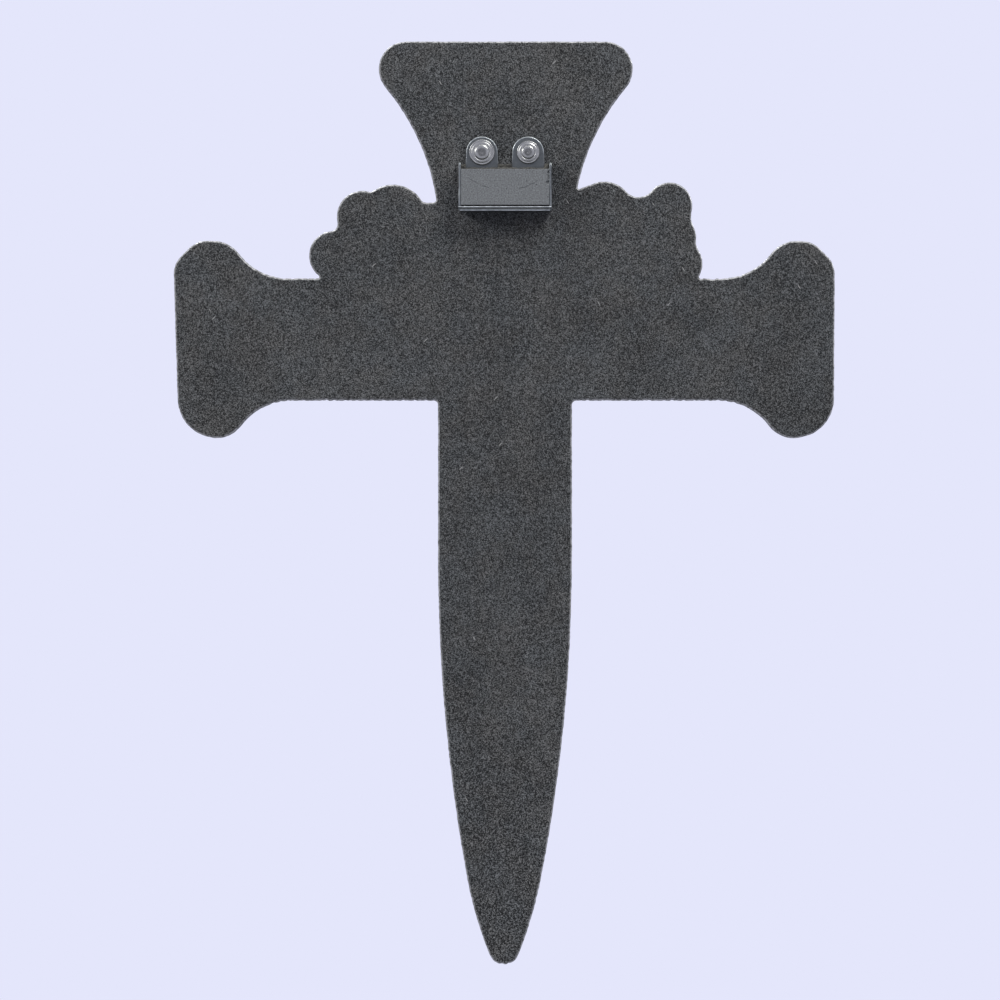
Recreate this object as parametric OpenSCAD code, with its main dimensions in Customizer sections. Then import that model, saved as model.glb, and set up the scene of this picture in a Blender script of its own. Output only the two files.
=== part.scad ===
// A thin cast grave cross with a magnet holder riveted to its back.
// X runs along the arms, Z runs up the stem, and the back of the casting faces +Y.
// The origin is the middle of the magnet's outer face.

/* [Cross] */
// Height of the top edge above the middle of the magnet
top_rise = 47.9; // [44:0.1:60]
// Depth of the foot's tip below the middle of the magnet
foot_drop = 252.1; // [210:0.1:310]
// Half the width across the two arms
half_span = 107.4; // [95:0.1:130]
// Depth of the beam's upper edge below the middle of the magnet
beam_top = 29.1; // [26:0.1:36]
// Height of the beam between its two edges
beam_h = 39.7; // [33:0.1:48]
// Thickness of the plate
plate_t = 4.6; // [3.5:0.1:8]

/* [Top arm] */
// Half the distance between the middles of the two corner rounds
top_corner_x = 32.3; // [28:0.1:38]
// Radius of the two corner rounds
top_corner_r = 9; // [5:0.1:10]
// Radius of the hollow sides
waist_r = 75; // [64:0.5:90]
// Depth of the narrowest place below the middle of the magnet
waist_drop = 15; // [10:0.1:20]
// How far the top arm lies off the middle
top_lean = -0.25; // [-1:0.05:1]

/* [Arm ends] */
// How far an arm's end stands above and below the beam
end_rise = 12.2; // [8:0.1:15]
// Radius of the two rounds of the upper outer corner
end_upper_r = 8; // [6:0.1:9.5]
// Reach of the upper outer corner, along each of its two sides
end_cut = 10.7; // [10:0.1:12]
// Radius of the lower outer corner
end_lower_r = 13; // [11.5:0.1:16]
// Radius of the upper and lower inner shoulders
end_inner_r = 10; // [7:0.1:10]
// Radius of the hollow that leads from the beam to the end
end_hollow_r = 20.6; // [16:0.1:25]
// How far the lower corner lies further in than the upper one
end_lean = 0.7; // [0:0.1:1.5]
// How far the arms' upper corners lie off the middle, and the lower ones on the other side
arm_lean = 0.25; // [-1:0.05:1]

/* [Foot] */
// Half the width of the foot below the beam
foot_half = 21.8; // [18:0.1:26]
// Depth below the magnet at which the foot begins to narrow
taper_drop = 120; // [100:1:140]
// Height of the foot's shoulder above its tip
shoulder_rise = 28; // [22:0.1:34]
// Half the width of the foot at its shoulder
shoulder_half = 12; // [10:0.1:14]
// How far the tip lies off the middle
tip_lean = 0.3; // [-1:0.1:1]
// Radius of the tip
tip_r = 5; // [4.5:0.1:6]
// Radius of the two corners between the beam and the foot
foot_corner_r = 1.3; // [0.5:0.1:4]

/* [Rose spray] */
// Height of the spray's middle rose above the plate
rose_h = 5; // [3:0.1:7]
// Radius of the spray's middle rose
rose_r = 16; // [12:0.1:18]
// Height of the smaller blooms above the plate
bloom_h = 3.6; // [2:0.1:5]
// How much every second bloom stands higher than its neighbours
bloom_step = 0.6; // [0.3:0.1:1]
// Strip of plate left around a bloom
bloom_margin = 0.7; // [0.3:0.1:2]
// Length of a rose leaf
leaf_l = 30; // [22:0.5:34]
// Width of a rose leaf
leaf_w = 13; // [9:0.5:16]
// Thickness of a rose leaf
leaf_t = 2; // [1:0.1:3]

/* [Front rim] */
// Distance from the outline to the raised rim
rim_inset = 1.2; // [0.6:0.1:1.8]
// Width of the raised rim
rim_w = 2.6; // [1.5:0.1:2.6]
// Height of the raised rim above the plate
rim_h = 1.4; // [0.6:0.1:2.5]

/* [Magnet] */
// Width of the magnet
magnet_w = 28.4; // [22:0.1:34.2]
// Height of the magnet
magnet_h = 11.6; // [9.6:0.1:14]
// Thickness of the magnet
magnet_t = 6.4; // [5.2:0.1:8]
// Thickness of the adhesive under the magnet
glue_t = 0.3; // [0.1:0.05:0.6]
// How far the adhesive squeezes out above the magnet
glue_squeeze = 2.2; // [1:0.1:2.6]

/* [Tray] */
// Thickness of the steel sheet
sheet_t = 0.8; // [0.6:0.05:1.2]
// Gap on each side of the magnet
side_gap = 0.05; // [0.05:0.01:0.3]
// Gap between the magnet and the lower wall
lower_gap = 0.3; // [0.1:0.05:0.6]
// How far the walls stay below the magnet's face
wall_drop = 0.2; // [0.1:0.05:0.8]
// How far the side walls reach above the magnet
wall_over = 2.3; // [1.2:0.1:3]
// How far the tray's floor reaches above the magnet
floor_over = 1.1; // [0.6:0.1:1.8]
// Radius of the side walls' upper corners
wall_corner_r = 1.2; // [0.4:0.1:2]

/* [Lugs and rivets] */
// Width of a lug
lug_w = 10.4; // [9:0.1:12]
// Distance between the two rivets
rivet_pitch = 15; // [13.2:0.1:16]
// Height of the rivets above the magnet
rivet_rise = 5.9; // [5.4:0.1:8]
// Diameter of a rivet's shank
shank_d = 4; // [3:0.1:4.8]
// Play of the shank in its holes, on the radius
shank_play = 0.05; // [0.02:0.01:0.2]
// Depth of the rivet holes in the casting
hole_depth = 3; // [2:0.1:3.2]
// Head diameter of the left rivet, seen from behind
head_left_d = 8.4; // [6.5:0.05:8.8]
// Head diameter of the right rivet, seen from behind
head_right_d = 7.5; // [6.5:0.05:8.8]
// Height of a rivet head
head_h = 2.1; // [1.7:0.1:2.3]

/* [Hidden] */

// Greatest distance between a round and the straight runs that stand for it
sag = 0.02;
// How far a cutter reaches past what it cuts
over = 1;
// Radius of the notches between the spray and the cross
notch_r = 0.5;

back_y = -(magnet_t + glue_t + sheet_t);
front_y = back_y - plate_t;
floor_y = back_y + sheet_t;
bed_y = floor_y + glue_t;
beam_bottom = beam_top + beam_h;
end_top = beam_top - end_rise;
end_bottom = beam_bottom + end_rise;

tray_half = magnet_w / 2 + side_gap + sheet_t;
hem_t = 2 * sheet_t;
tray_bottom = -(magnet_h / 2 + lower_gap + hem_t);
rivet_z = magnet_h / 2 + rivet_rise;

// Blooms from the beam up to the neck: X, height above the beam's upper edge, radius
RIGHT_BLOOMS = [[55.6, 7.3, 8.1], [46.3, 20.1, 8.4], [36.4, 19.5, 11]];
// Blooms from the neck down to the beam
LEFT_BLOOMS = [[-32.2, 21.9, 9.6], [-53.4, 23.7, 7.5], [-54.2, 13.1, 8], [-56, 4.8, 8.2]];
// Radii of the hollows between neighbouring blooms
RIGHT_HOLLOWS = [2.4, 2];
LEFT_HOLLOWS = [5.4, 8, 4];
// Notches between the spray and the neck: height above the beam's upper edge and radius
RIGHT_NECK = [24.7, 0.9];
LEFT_NECK = [29.1, 0.5];
// Hollow at the foot of the last bloom on the right, as wide as the notch there is flat
RIGHT_FOOT = [25.9, 1.5];
// Leaves of the spray: direction in degrees and distance of the stalk from the middle rose
LEAVES = [for (a = [20, 160, 200, 340, 250, 290]) [a, rose_r - 4]];

// --- outlines ------------------------------------------------------------
// An outline is a belt laid anticlockwise round pulleys [x, y, r].
// A pulley with a negative radius lies outside the belt and makes a hollow.

// An angle brought between 0 and 360, with rounding errors just under 360 taken as 0
function turn(a) = let (t = a - 360 * floor(a / 360)) t > 359.99 ? 0 : t;

// Direction of the belt's straight run from pulley a to pulley b
function run(a, b) = let (d = [b.x - a.x, b.y - a.y])
    atan2(d.y, d.x) + asin(max(-1, min(1, (a.z - b.z) / norm(d))));

// Points of the round that the belt makes on pulley p
function wrap(p, a_in, a_out) =
    let (sweep = p.z < 0 ? -turn(a_in - a_out) : turn(a_out - a_in))
    let (n = abs(p.z) < sag ? 0 : ceil(abs(sweep) / (2 * acos(1 - sag / abs(p.z)))))
    [for (i = [0:n]) let (a = a_in + (n == 0 ? 0 : sweep * i / n) - 90) [p.x + p.z * cos(a), p.y + p.z * sin(a)]];

// A closed row of points without those that repeat the one before them
function distinct(points) = let (n = len(points))
    [for (i = [0:n - 1]) if (norm(points[i] - points[(i + n - 1) % n]) > sag) points[i]];

function belt(pulleys) = let (n = len(pulleys)) distinct([
    for (i = [0:n - 1])
        let (before = pulleys[(i + n - 1) % n], p = pulleys[i], after = pulleys[(i + 1) % n])
        each wrap(p, run(before, p), run(p, after))
]);

// The same outline drawn in by d all round
function drawn_in(pulleys, d) = [for (p = pulleys) [p.x, p.y, p.z - d]];

// Hollow of radius f that touches pulleys a and b, left (1) or right (-1) of the line between them
function hollow(a, b, f, side) =
    let (ra = abs(a.z + f), rb = abs(b.z + f), d = [b.x - a.x, b.y - a.y])
    let (l = norm(d), along = (ra * ra - rb * rb + l * l) / (2 * l))
    let (aside = side * sqrt(max(0, ra * ra - along * along)))
    [a.x + (along * d.x - aside * d.y) / l, a.y + (along * d.y + aside * d.x) / l, -f];

function mirrored(pulleys) = [for (i = [len(pulleys) - 1:-1:0]) [-pulleys[i].x, pulleys[i].y, pulleys[i].z]];

// --- pulleys of the cross, for its right half as seen from the front ------
waist_reach = waist_r + top_corner_r;

// Corner and hollow side of the top arm, which lies off the middle by lean
function top_corner(lean) = [top_corner_x + lean, top_rise - top_corner_r, top_corner_r];
function waist(lean) = let (c = top_corner(lean))
    [c.x + sqrt(waist_reach * waist_reach - pow(c.y + waist_drop, 2)), -waist_drop, -waist_r];

// Notch of radius r in a waist, its lowest point at height z
function neck_notch(waist, z, r) =
    [waist.x - sqrt(pow(waist_r - r, 2) - pow(z + r - waist.y, 2)), z + r, -r];

// Hollow between the beam's edge at height edge_z and an arm's inner shoulder
function end_hollow(shoulder, edge_z, side) =
    let (z = edge_z + side * end_hollow_r, reach = end_hollow_r + shoulder.z)
    [shoulder.x - sqrt(reach * reach - pow(z - shoulder.y, 2)), z, -end_hollow_r];

end_side = [half_span - end_upper_r, -end_top - end_cut, end_upper_r];
end_crown = [half_span - end_cut, -end_top - end_upper_r, end_upper_r];
end_upper_in = [half_span - 12.8, -end_top - end_inner_r, end_inner_r];
end_lower = [half_span - end_lean - end_lower_r, -end_bottom + end_lower_r, end_lower_r];
end_lower_in = [half_span - 13.5, -end_bottom + end_inner_r, end_inner_r];

// The same pulleys further out by d
function further(pulleys, d) = [for (p = pulleys) [p.x + d, p.y, p.z]];

// Pulleys of one arm, whose upper corner lies further out by lean and the lower one further in
function arm(lean) = concat(
    [end_hollow(end_lower_in, -beam_bottom, -1), end_lower_in],
    further([end_lower], -lean),
    further([end_side, end_crown], lean),
    [end_upper_in, end_hollow(end_upper_in, -beam_top, 1)]
);

// The foot's long side is an arc that starts upright and ends at the shoulder
shoulder_z = shoulder_rise - foot_drop;
side_drop = -taper_drop - shoulder_z;
tip = [tip_lean, tip_r - foot_drop, tip_r];

// Pulleys of one side of the foot, whose tip lies at lean
function foot(lean) =
    let (half = shoulder_half + lean, draw = foot_half - half)
    let (side_r = (side_drop * side_drop + draw * draw) / (2 * draw))
    let (side = [foot_half - side_r, -taper_drop, side_r])
    let (out = [(half - side.x) / side_r, (shoulder_z - side.y) / side_r])
    let (from_tip = [half - lean, shoulder_z - tip.y])
    let (r = (from_tip * from_tip - tip_r * tip_r) / (2 * (from_tip * out - tip_r)))
    [
        [half - r * out.x, shoulder_z - r * out.y, r],
        side,
        [foot_half + foot_corner_r, -beam_bottom - foot_corner_r, -foot_corner_r]
    ];

// --- blooms along the beam ------------------------------------------------
function raised(blooms) = [for (b = blooms) [b.x, b.y - beam_top, b.z]];
right_blooms = raised(RIGHT_BLOOMS);
left_blooms = raised(LEFT_BLOOMS);

// Notch between the beam's upper edge and the bloom next to it
function beam_notch(bloom, side) =
    let (z = notch_r - beam_top, reach = bloom.z + notch_r)
    [bloom.x + side * sqrt(reach * reach - pow(bloom.y - z, 2)), z, -notch_r];

// Blooms with the hollows between them
function bloom_row(blooms, hollows) = [
    for (i = [0:len(blooms) - 1])
        each i == 0 ? [blooms[0]] : [hollow(blooms[i - 1], blooms[i], hollows[i - 1], -1), blooms[i]]
];

last_left = left_blooms[len(left_blooms) - 1];
right_neck = neck_notch(waist(top_lean), RIGHT_NECK[0] - beam_top, RIGHT_NECK[1]);
left_neck = neck_notch(waist(-top_lean), LEFT_NECK[0] - beam_top, LEFT_NECK[1]);
right_foot = [RIGHT_FOOT[0], RIGHT_NECK[0] - beam_top + RIGHT_FOOT[1], -RIGHT_FOOT[1]];

// Pulleys of one half of the top arm, from its waist up, and that half's corner with the beam
function top_half(lean) = [waist(lean), top_corner(lean)];
function neck_corner(lean) = [neck_notch(waist(lean), -beam_top, 3)];

RIGHT_SPRAY = concat([beam_notch(right_blooms[0], 1)], bloom_row(right_blooms, RIGHT_HOLLOWS), [right_foot, right_neck]);
LEFT_SPRAY = concat(mirrored([left_neck]), bloom_row(left_blooms, LEFT_HOLLOWS), [beam_notch(last_left, -1)]);
TOP = concat(top_half(top_lean), mirrored(top_half(-top_lean)));
STEM = concat([tip], foot(tip_lean), arm(arm_lean));
LEFT_STEM = mirrored(concat(foot(-tip_lean), arm(-arm_lean)));

// Outline of the whole casting, and of the cross without its spray
CASTING = concat(STEM, RIGHT_SPRAY, TOP, LEFT_SPRAY, LEFT_STEM);
CROSS = concat(STEM, neck_corner(top_lean), TOP, mirrored(neck_corner(-top_lean)), LEFT_STEM);

// --- modules ---------------------------------------------------------------
// An upright plate that starts at y and reaches t towards the front
module upright(y, t) {
    translate([0, y, 0])
        rotate([90, 0, 0])
            linear_extrude(t)
                children();
}

// Three steps, like the rows of petals round a bud, on the plate at [x, z]
module bloom(x, z, r, h) {
    for (row = [0:2])
        upright(front_y + over, over + h * (2 + row) / 4)
            translate([x, z])
                circle(r * (1 - 0.3 * row), $fn = 48);
}

// A pointed leaf, its stalk at the origin, along +X
module leaf_outline() {
    arc_r = (leaf_l * leaf_l + leaf_w * leaf_w) / (4 * leaf_w);
    half_angle = asin(leaf_l / (2 * arc_r));
    steps = 10;
    lower = [
        for (i = [0:steps])
            let (a = -90 - half_angle + 2 * half_angle * i / steps)
            [leaf_l / 2 + arc_r * cos(a), arc_r - leaf_w / 2 + arc_r * sin(a)]
    ];
    polygon(concat(lower, [for (i = [steps - 1:-1:1]) [lower[i].x, -lower[i].y]]));
}

module spray() {
    rose_z = -(beam_top + beam_h / 2);
    for (leaf = LEAVES)
        upright(front_y + over, leaf_t + over)
            translate([leaf[1] * cos(leaf[0]), rose_z + leaf[1] * sin(leaf[0])])
                rotate(leaf[0])
                    leaf_outline();
    for (row = [left_blooms, right_blooms], i = [0:len(row) - 1])
        bloom(row[i].x, row[i].y, row[i].z - bloom_margin, bloom_h + bloom_step * (i % 2));
    bloom(0, rose_z, rose_r, rose_h);
}

module rivet_holes(r) {
    for (side = [-1, 1])
        translate([side * rivet_pitch / 2, 0, rivet_z])
            rotate([90, 0, 0])
                cylinder(r = r, h = 60, center = true, $fn = 48);
}

module cross_casting() {
    color("dimgray")
        difference() {
            union() {
                upright(back_y, plate_t)
                    polygon(belt(CASTING));
                upright(front_y + over, rim_h + over)
                    difference() {
                        polygon(belt(drawn_in(CROSS, rim_inset)));
                        polygon(belt(drawn_in(CROSS, rim_inset + rim_w)));
                    }
                spray();
            }
            intersection() {
                rivet_holes(shank_d / 2 + shank_play);
                translate([-rivet_pitch, back_y - hole_depth, 0])
                    cube([2 * rivet_pitch, 2 * hole_depth, 2 * rivet_z]);
            }
        }
}

// Outline of one lug, from inside the tray's floor up to its round top
module lug_outline() {
    polygon(belt([[-lug_w / 2, 0, 0], [lug_w / 2, 0, 0], [0, rivet_z, lug_w / 2]]));
}

module side_wall() {
    depth = -back_y - wall_drop;
    top = magnet_h / 2 + wall_over;
    rotate([90, 0, 90])
        linear_extrude(sheet_t)
            translate([back_y, 0])
                polygon(belt([
                    [0, tray_bottom, 0],
                    [depth, tray_bottom, 0],
                    [depth - wall_corner_r, top - wall_corner_r, wall_corner_r],
                    [0, top, 0]
                ]));
}

module magnet_tray() {
    color("silver")
        difference() {
            union() {
                translate([-tray_half, back_y, tray_bottom])
                    cube([2 * tray_half, sheet_t, magnet_h / 2 + floor_over - tray_bottom]);
                translate([-tray_half, back_y, tray_bottom])
                    cube([2 * tray_half, -back_y - wall_drop, hem_t]);
                for (x = [-tray_half, tray_half - sheet_t])
                    translate([x, 0, 0])
                        side_wall();
                for (side = [-1, 1])
                    translate([side * rivet_pitch / 2, 0, 0])
                        upright(floor_y, sheet_t)
                            lug_outline();
            }
            rivet_holes(shank_d / 2 + shank_play);
        }
}

module magnet_block() {
    color("gray")
        translate([-magnet_w / 2, -magnet_t, -magnet_h / 2])
            cube([magnet_w, magnet_t, magnet_h]);
}

// The bed under the magnet and what squeezed out above it, round the lugs
module adhesive_bed() {
    half = magnet_w / 2;
    top = magnet_h / 2;
    floor_top = top + floor_over;
    color("darkolivegreen")
        union() {
            translate([-half, floor_y, -top])
                cube([2 * half, glue_t, 2 * top]);
            translate([-half, floor_y, top - over])
                cube([2 * half, glue_t, over + floor_over / 2]);
            translate([-half, bed_y - glue_t / 2, top])
                cube([2 * half, magnet_t / 3, floor_over / 2]);
            for (span = [[-half, -(rivet_pitch + lug_w) / 2], [-(rivet_pitch - lug_w) / 2, (rivet_pitch - lug_w) / 2],
                         [(rivet_pitch + lug_w) / 2, half]])
                translate([span[0] + side_gap, back_y, floor_top]) {
                    cube([span[1] - span[0] - 2 * side_gap, magnet_t / 3, glue_squeeze - floor_over]);
                    translate([0, sheet_t, -floor_over])
                        cube([span[1] - span[0] - 2 * side_gap, magnet_t / 3 - sheet_t, glue_squeeze]);
                }
        }
}

// A set rivet: shank, shallow dome and a raised middle with a small dimple
module rivet(side, head_d) {
    r = head_d / 2;
    shank_r = shank_d / 2;
    depth = hole_depth + sheet_t - shank_play;
    edge_r = head_h / 7;
    valley_r = r * 0.11;
    boss_r = r * 0.15;
    translate([side * rivet_pitch / 2, floor_y, rivet_z])
        rotate([-90, 0, 0])
            rotate_extrude($fn = 48)
                polygon(belt([
                    [0, -depth, 0],
                    [shank_r, -depth, 0],
                    [shank_r, 0, 0],
                    [r - edge_r, edge_r, edge_r],
                    [r * 0.74, head_h * 0.08, head_h * 0.4],
                    [r * 0.63, head_h * 0.55 + valley_r, -valley_r],
                    [r * 0.36, head_h - boss_r, boss_r],
                    [r * 0.14, head_h, 0],
                    [0, head_h * 0.88, 0]
                ]));
}

module rivet_left() {
    color("lightgray")
        rivet(1, head_left_d);
}

module rivet_right() {
    color("lightgray")
        rivet(-1, head_right_d);
}

cross_casting();
magnet_tray();
magnet_block();
adhesive_bed();
rivet_left();
rivet_right();
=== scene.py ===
"""Looks of a cast grave cross with a magnet holder riveted to its back."""

import math
import random

import bmesh
import bpy
from mathutils import Matrix, Vector, noise

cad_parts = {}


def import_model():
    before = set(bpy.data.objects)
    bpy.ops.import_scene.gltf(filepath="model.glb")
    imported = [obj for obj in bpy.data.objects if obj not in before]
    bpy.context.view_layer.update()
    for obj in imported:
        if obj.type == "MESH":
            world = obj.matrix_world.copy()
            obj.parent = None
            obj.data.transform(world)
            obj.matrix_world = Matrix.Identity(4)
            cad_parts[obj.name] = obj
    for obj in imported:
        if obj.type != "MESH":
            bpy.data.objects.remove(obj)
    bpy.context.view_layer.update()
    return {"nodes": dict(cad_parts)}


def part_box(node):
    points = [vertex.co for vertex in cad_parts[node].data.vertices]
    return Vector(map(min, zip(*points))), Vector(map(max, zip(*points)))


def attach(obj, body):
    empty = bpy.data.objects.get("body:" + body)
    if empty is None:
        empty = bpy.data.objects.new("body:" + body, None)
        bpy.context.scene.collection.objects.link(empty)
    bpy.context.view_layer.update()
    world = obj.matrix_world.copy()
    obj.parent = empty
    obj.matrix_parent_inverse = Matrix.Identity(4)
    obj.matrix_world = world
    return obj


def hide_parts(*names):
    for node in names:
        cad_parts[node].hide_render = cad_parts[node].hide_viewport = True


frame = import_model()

MM = 0.001

# Levels of the casting and of what is riveted to it
CAST_LOW, CAST_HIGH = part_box("cross_casting")
TRAY_LOW, TRAY_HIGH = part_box("magnet_tray")
MAGNET_LOW, MAGNET_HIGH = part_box("magnet_block")
GLUE_LOW, GLUE_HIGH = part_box("adhesive_bed")
PLATE_T = 4.6 * MM
SHEET_T = 0.8 * MM
BACK_Y = CAST_HIGH.y
LUG_FACE_Y = BACK_Y + SHEET_T
FRONT_Y = BACK_Y - PLATE_T
BEAM_TOP = -29.1 * MM
BEAM_H = 39.7 * MM
ROSE_Z = BEAM_TOP - BEAM_H / 2
# How near counts as the same, in a CAD node's mesh and in one made here
SAME_IN_CAD = 0.002 * MM
SAME_HERE = 0.001 * MM


# --- meshes ------------------------------------------------------------------
def merged_copy(node):
    """A CAD node's mesh with its loose triangles joined."""
    bm = bmesh.new()
    bm.from_mesh(frame["nodes"][node].data)
    bmesh.ops.remove_doubles(bm, verts=bm.verts, dist=SAME_IN_CAD)
    return bm


def plain_mesh(name, bm):
    bmesh.ops.recalc_face_normals(bm, faces=bm.faces)
    mesh = bpy.data.meshes.new(name)
    bm.to_mesh(mesh)
    bm.free()
    return mesh


def add_piece(name, mesh, finish, nodes=(), sharp_deg=40):
    """Makes a mesh a piece of the object, which rides on its only body."""
    mesh.materials.clear()
    mesh.materials.append(finish)
    mesh.shade_smooth()
    mesh.set_sharp_from_angle(angle=math.radians(sharp_deg))
    piece = bpy.data.objects.new(name, mesh)
    bpy.context.scene.collection.objects.link(piece)
    even = piece.modifiers.new("even shading", "WEIGHTED_NORMAL")
    even.keep_sharp = True
    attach(piece, "root")
    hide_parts(*nodes)
    return piece


def worked(name, mesh, steps):
    """The mesh after some modifiers, each given as a kind and its settings."""
    piece = bpy.data.objects.new(name, mesh)
    bpy.context.scene.collection.objects.link(piece)
    for kind, settings in steps:
        step = piece.modifiers.new(kind, kind)
        for key, value in settings.items():
            setattr(step, key, value)
    seen = piece.evaluated_get(bpy.context.evaluated_depsgraph_get())
    result = bpy.data.meshes.new_from_object(seen)
    bpy.data.objects.remove(piece)
    return result


def combined(name, base, others, operation):
    """The mesh with others added to it or cut from it."""
    tools = []
    for other in others:
        tool = bpy.data.objects.new("tool", other)
        bpy.context.scene.collection.objects.link(tool)
        tools.append(tool)
    steps = [("BOOLEAN", {"solver": "MANIFOLD", "operation": operation, "object": tool}) for tool in tools]
    result = worked(name, base, steps)
    for tool in tools:
        bpy.data.objects.remove(tool)
    return result


def pairs(row):
    """Each item of a closed row with the one after it."""
    return zip(row, row[1:] + row[:1])


def rows_of_edges(edges):
    """The closed rows of vertices that some edges form."""
    beside = {}
    for edge in edges:
        for vert in edge.verts:
            beside.setdefault(vert, []).append(edge.other_vert(vert))
    rows = []
    left = dict.fromkeys(beside)
    while left:
        row = [next(iter(left))]
        while row:
            left.pop(row[-1])
            following = [v for v in beside[row[-1]] if v in left]
            if not following:
                break
            row.append(following[0])
        rows.append(row)
    return rows


def outlines_at(level):
    """The outlines of the casting's flat faces at a level of Y, as rows of points in X and Z."""
    bm = merged_copy("cross_casting")
    flat = {f for f in bm.faces if all(abs(v.co.y - level) < SAME_IN_CAD for v in f.verts)}
    edges = [e for e in bm.edges if sum(f in flat for f in e.link_faces) == 1]
    found = []
    for row in rows_of_edges(edges):
        outline = [Vector((v.co.x, v.co.z)) for v in row]
        turned = sum(a.x * b.y - b.x * a.y for a, b in pairs(outline))
        found.append(outline if turned > 0 else outline[::-1])
    bm.free()
    return found


def spaced(outline, step):
    """A closed outline with points about step apart."""
    points = []
    for a, b in pairs(outline):
        count = max(1, round((b - a).length / step))
        points += [a.lerp(b, i / count) for i in range(count)]
    return points


def moved_out(outline, distances):
    """The outline with each point moved outwards by its distance."""
    count = len(outline)
    moved = []
    for i, (point, distance) in enumerate(zip(outline, distances)):
        along = (outline[(i + 1) % count] - outline[i - 1]).normalized()
        moved.append(point + Vector((along.y, -along.x)) * distance)
    return moved


def bites(outline):
    """How far a cast edge falls short of its outline at each point, most along the beam's two edges."""
    uneven = []
    count = len(outline)
    for i, point in enumerate(outline):
        along = (outline[(i + 1) % count] - outline[i - 1]).normalized()
        place = Vector((point.x, 0, point.y)) / MM
        on_beam = abs(along.x) > 0.93 and point.y < BEAM_TOP + 3 * MM and abs(point.x) < 82 * MM
        wave = 0.08 * noise.noise(place * 0.25)
        burr = (0.5 if on_beam else 0.12) * noise.noise(place * 0.8 + Vector((7, 3, 1)))
        uneven.append(min(0.0, wave + burr - 0.05) * MM)
    return uneven


# --- shader values -------------------------------------------------------------
class Value:
    """A shader value; sums, differences and products of it add Math nodes."""

    def __init__(self, finish, socket):
        self.finish = finish
        self.socket = socket

    def math(self, operation, other, swapped=False):
        ends = (other, self) if swapped else (self, other)
        made = self.finish.node("ShaderNodeMath", {"operation": operation}, {0: ends[0], 1: ends[1]})
        return Value(self.finish, made.outputs[0])

    def __add__(self, other):
        return self.math("ADD", other)

    def __sub__(self, other):
        return self.math("SUBTRACT", other)

    def __mul__(self, other):
        return self.math("MULTIPLY", other)

    def __rsub__(self, other):
        return self.math("SUBTRACT", other, swapped=True)

    __radd__ = __add__
    __rmul__ = __mul__

    def __abs__(self):
        return self.math("ABSOLUTE", 0.0)

    def between(self, low, high):
        """0 at low and 1 at high, smooth between them; low may be the greater."""
        made = self.finish.node(
            "ShaderNodeMapRange", {"interpolation_type": "SMOOTHSTEP"},
            {"Value": self, "From Min": low, "From Max": high},
        )
        return Value(self.finish, made.outputs["Result"])


class Finish:
    """A procedural material on object coordinates."""

    def __init__(self, name, **plain):
        self.material = bpy.data.materials.new(name)
        self.material.use_nodes = True
        self.nodes = self.material.node_tree.nodes
        self.links = self.material.node_tree.links
        self.nodes.clear()
        self.shader = self.node("ShaderNodeBsdfPrincipled", sockets=plain)
        self.node("ShaderNodeOutputMaterial", sockets={"Surface": self.shader.outputs[0]})
        self.place = self.node("ShaderNodeTexCoord").outputs["Object"]
        split = self.node("ShaderNodeSeparateXYZ", sockets={0: self.place})
        self.x, self.y, self.z = (Value(self, out) for out in split.outputs)

    def node(self, kind, settings=None, sockets=None):
        """A node with its settings, then its sockets' values or links."""
        made = self.nodes.new(kind)
        for key, value in (settings or {}).items():
            setattr(made, key, value)
        for key, value in (sockets or {}).items():
            self.feed(made.inputs[key], value)
        return made

    def feed(self, socket, value):
        if isinstance(value, Value):
            value = value.socket
        if isinstance(value, bpy.types.NodeSocket):
            self.links.new(value, socket)
        elif socket.type == "RGBA":
            socket.default_value = (*value[:3], 1)
        else:
            socket.default_value = value

    def stretched(self, scale, turn=(0, 0, 0), shift=(0, 0, 0)):
        """Object coordinates shifted and turned, then shortened so that a pattern is scale times as long."""
        sockets = {"Vector": self.place, "Location": shift, "Rotation": turn, "Scale": scale}
        return self.node("ShaderNodeMapping", {"vector_type": "TEXTURE"}, sockets).outputs[0]

    def noise(self, per_mm, detail=2.0, roughness=0.5, place=None):
        """Soft noise with about per_mm grains to a millimetre."""
        sockets = {
            "Vector": place or self.place, "Scale": per_mm / MM, "Detail": detail, "Roughness": roughness,
        }
        return Value(self, self.node("ShaderNodeTexNoise", sockets=sockets).outputs["Fac"])

    def cells(self, per_mm, place=None):
        """Distance to the nearest of scattered points, and that point's own random number."""
        sockets = {"Vector": place or self.place, "Scale": per_mm / MM}
        made = self.node("ShaderNodeTexVoronoi", sockets=sockets)
        chance = self.node("ShaderNodeSeparateColor", sockets={0: made.outputs["Color"]})
        return Value(self, made.outputs["Distance"]), Value(self, chance.outputs[0])

    def blend(self, share, low, high):
        """Colour low where share is 0, and high where it is 1."""
        made = self.node("ShaderNodeMix", {"data_type": "RGBA", "clamp_factor": True})
        self.feed(made.inputs[0], share)
        self.feed(made.inputs[6], low)
        self.feed(made.inputs[7], high)
        return made.outputs[2]

    def shade(self, colour, strength):
        """A colour multiplied by a value."""
        made = self.node("ShaderNodeVectorMath", {"operation": "SCALE"})
        self.feed(made.inputs[0], colour)
        self.feed(made.inputs["Scale"], strength)
        return made.outputs[0]

    def finished(self, colour, roughness=None, height=None, depth=0.1, strength=1.0, metallic=None):
        """Feeds the shader; height is bumped to a depth in millimetres."""
        self.feed(self.shader.inputs["Base Color"], colour)
        if roughness is not None:
            self.feed(self.shader.inputs["Roughness"], roughness)
        if metallic is not None:
            self.feed(self.shader.inputs["Metallic"], metallic)
        if height is not None:
            bump = self.node(
                "ShaderNodeBump", sockets={"Height": height, "Distance": depth * MM, "Strength": strength}
            )
            self.feed(self.shader.inputs["Normal"], bump.outputs[0])
        return self.material


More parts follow.
